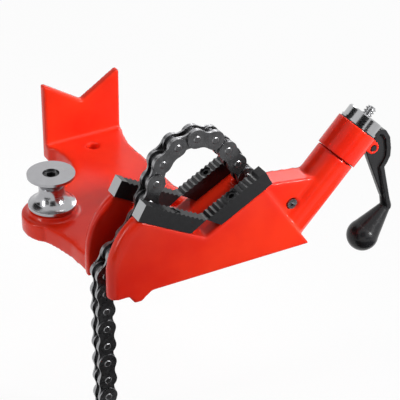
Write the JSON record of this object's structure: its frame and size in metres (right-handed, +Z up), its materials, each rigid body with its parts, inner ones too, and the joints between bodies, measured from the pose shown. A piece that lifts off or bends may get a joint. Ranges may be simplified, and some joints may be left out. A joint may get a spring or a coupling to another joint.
{
  "type": "chain pipe vise",
  "caption": "Bench-mounted chain vise for pipe: cast base with notched jaws, riveted chain over the pipe, slanted screw with fold-down crank, rear pipe rest and side bending roller.",
  "frame": {"origin": "On the bench top under the jaws: X = 0 is the held pipe's axis seen from above, Y = 0 is the plane of the chain, Z = 0 is the bench top.", "axes": "+X towards the screw and crank, +Y along the held pipe towards the rear rest, +Z up."},
  "size_m": [0.3333, 0.2603, 0.2835],
  "materials": {
    "red_enamel": "gloss",
    "black_oxide": "satin",
    "black_enamel": "gloss",
    "chain_steel": "satin",
    "bright_steel": "satin"
  },
  "bodies": {
    "casting": {"base_casting": "red_enamel", "jaw_front": "black_oxide", "jaw_rear": "black_oxide", "jaw_screws": "black_oxide", "roller_washer": "bright_steel", "roller_bolt": "black_oxide", "idler_pin": "bright_steel"},
    "bending_roller": {"roller": "bright_steel"},
    "idler": {"idler_sleeve": "bright_steel"},
    "hub": {"crank_hub": "red_enamel", "hub_nut": "bright_steel", "nut_washer": "black_oxide", "crank_pin": "bright_steel"},
    "crank": {"crank_handle": "black_enamel"},
    "screw": {"chain_screw": "bright_steel", "chain_link_1": "chain_steel", "chain_link_2": "chain_steel", "chain_link_3": "chain_steel", "chain_link_4": "chain_steel", "chain_link_5": "chain_steel", "chain_link_6": "chain_steel", "chain_link_7": "chain_steel", "chain_link_8": "chain_steel", "chain_link_9": "chain_steel", "chain_link_10": "chain_steel", "chain_link_11": "chain_steel", "chain_link_12": "chain_steel", "chain_link_13": "chain_steel", "chain_link_14": "chain_steel"},
    "link_15": {"chain_link_15": "chain_steel"},
    "link_16": {"chain_link_16": "chain_steel"},
    "link_17": {"chain_link_17": "chain_steel"},
    "link_18": {"chain_link_18": "chain_steel"},
    "link_19": {"chain_link_19": "chain_steel"},
    "link_20": {"chain_link_20": "chain_steel"},
    "link_21": {"chain_link_21": "chain_steel"},
    "link_22": {"chain_link_22": "chain_steel"},
    "link_23": {"chain_link_23": "chain_steel"},
    "link_24": {"chain_link_24": "chain_steel"},
    "link_25": {"chain_link_25": "chain_steel"}
  },
  "joints": [
    {"name": "roller_spin", "type": "hinge", "parent": "casting", "child": "bending_roller", "pos_m": [-0.086, 0.1083, 0.024], "axis": [0, 0, 1], "continuous": true},
    {"name": "idler_spin", "type": "hinge", "parent": "casting", "child": "idler", "pos_m": [0.099, 0, 0.0365], "axis": [0, 1, 0], "continuous": true},
    {"name": "hub_turn", "type": "hinge", "parent": "casting", "child": "hub", "pos_m": [0.17464, 0, 0.09122], "axis": [0.682, 0, 0.7314], "range_deg": [-120, 120]},
    {"name": "crank_fold", "type": "hinge", "parent": "hub", "child": "crank", "pos_m": [0.18916, 0, 0.06823], "axis": [0, 1, 0], "range_deg": [-3, 20]},
    {"name": "screw_draw", "type": "slide", "parent": "casting", "child": "screw", "axis": [0.682, 0, 0.7314], "range_m": [-0.00101, 0.00101]},
    {"name": "pin_15", "type": "hinge", "parent": "screw", "child": "link_15", "pos_m": [-0.05087, 0, 0.05659], "axis": [0, 1, 0], "range_deg": [0, 7]},
    {"name": "pin_16", "type": "hinge", "parent": "link_15", "child": "link_16", "pos_m": [-0.06252, 0, 0.04152], "axis": [0, 1, 0], "range_deg": [0, 7]},
    {"name": "pin_17", "type": "hinge", "parent": "link_16", "child": "link_17", "pos_m": [-0.07711, 0, 0.02926], "axis": [0, 1, 0], "range_deg": [0, 7]},
    {"name": "pin_18", "type": "hinge", "parent": "link_17", "child": "link_18", "pos_m": [-0.08746, 0, 0.01328], "axis": [0, 1, 0], "range_deg": [0, 7]},
    {"name": "pin_19", "type": "hinge", "parent": "link_18", "child": "link_19", "pos_m": [-0.088, 0, -0.00577], "axis": [0, 1, 0], "range_deg": [0, 15]},
    {"name": "pin_20", "type": "hinge", "parent": "link_19", "child": "link_20", "pos_m": [-0.088, 0, -0.02482], "axis": [0, 1, 0], "range_deg": [-5, 20]},
    {"name": "pin_21", "type": "hinge", "parent": "link_20", "child": "link_21", "pos_m": [-0.088, 0, -0.04387], "axis": [0, 1, 0], "range_deg": [-5, 20]},
    {"name": "pin_22", "type": "hinge", "parent": "link_21", "child": "link_22", "pos_m": [-0.088, 0, -0.06292], "axis": [0, 1, 0], "range_deg": [-5, 20]},
    {"name": "pin_23", "type": "hinge", "parent": "link_22", "child": "link_23", "pos_m": [-0.088, 0, -0.08197], "axis": [0, 1, 0], "range_deg": [-5, 20]},
    {"name": "pin_24", "type": "hinge", "parent": "link_23", "child": "link_24", "pos_m": [-0.088, 0, -0.10102], "axis": [0, 1, 0], "range_deg": [-5, 20]},
    {"name": "pin_25", "type": "hinge", "parent": "link_24", "child": "link_25", "pos_m": [-0.088, 0, -0.12007], "axis": [0, 1, 0], "range_deg": [-5, 20]}
  ],
  "couplings": [
    {"joint": "screw_draw", "follows": "hub_turn", "m_per_rad": 0.00047746}
  ]
}
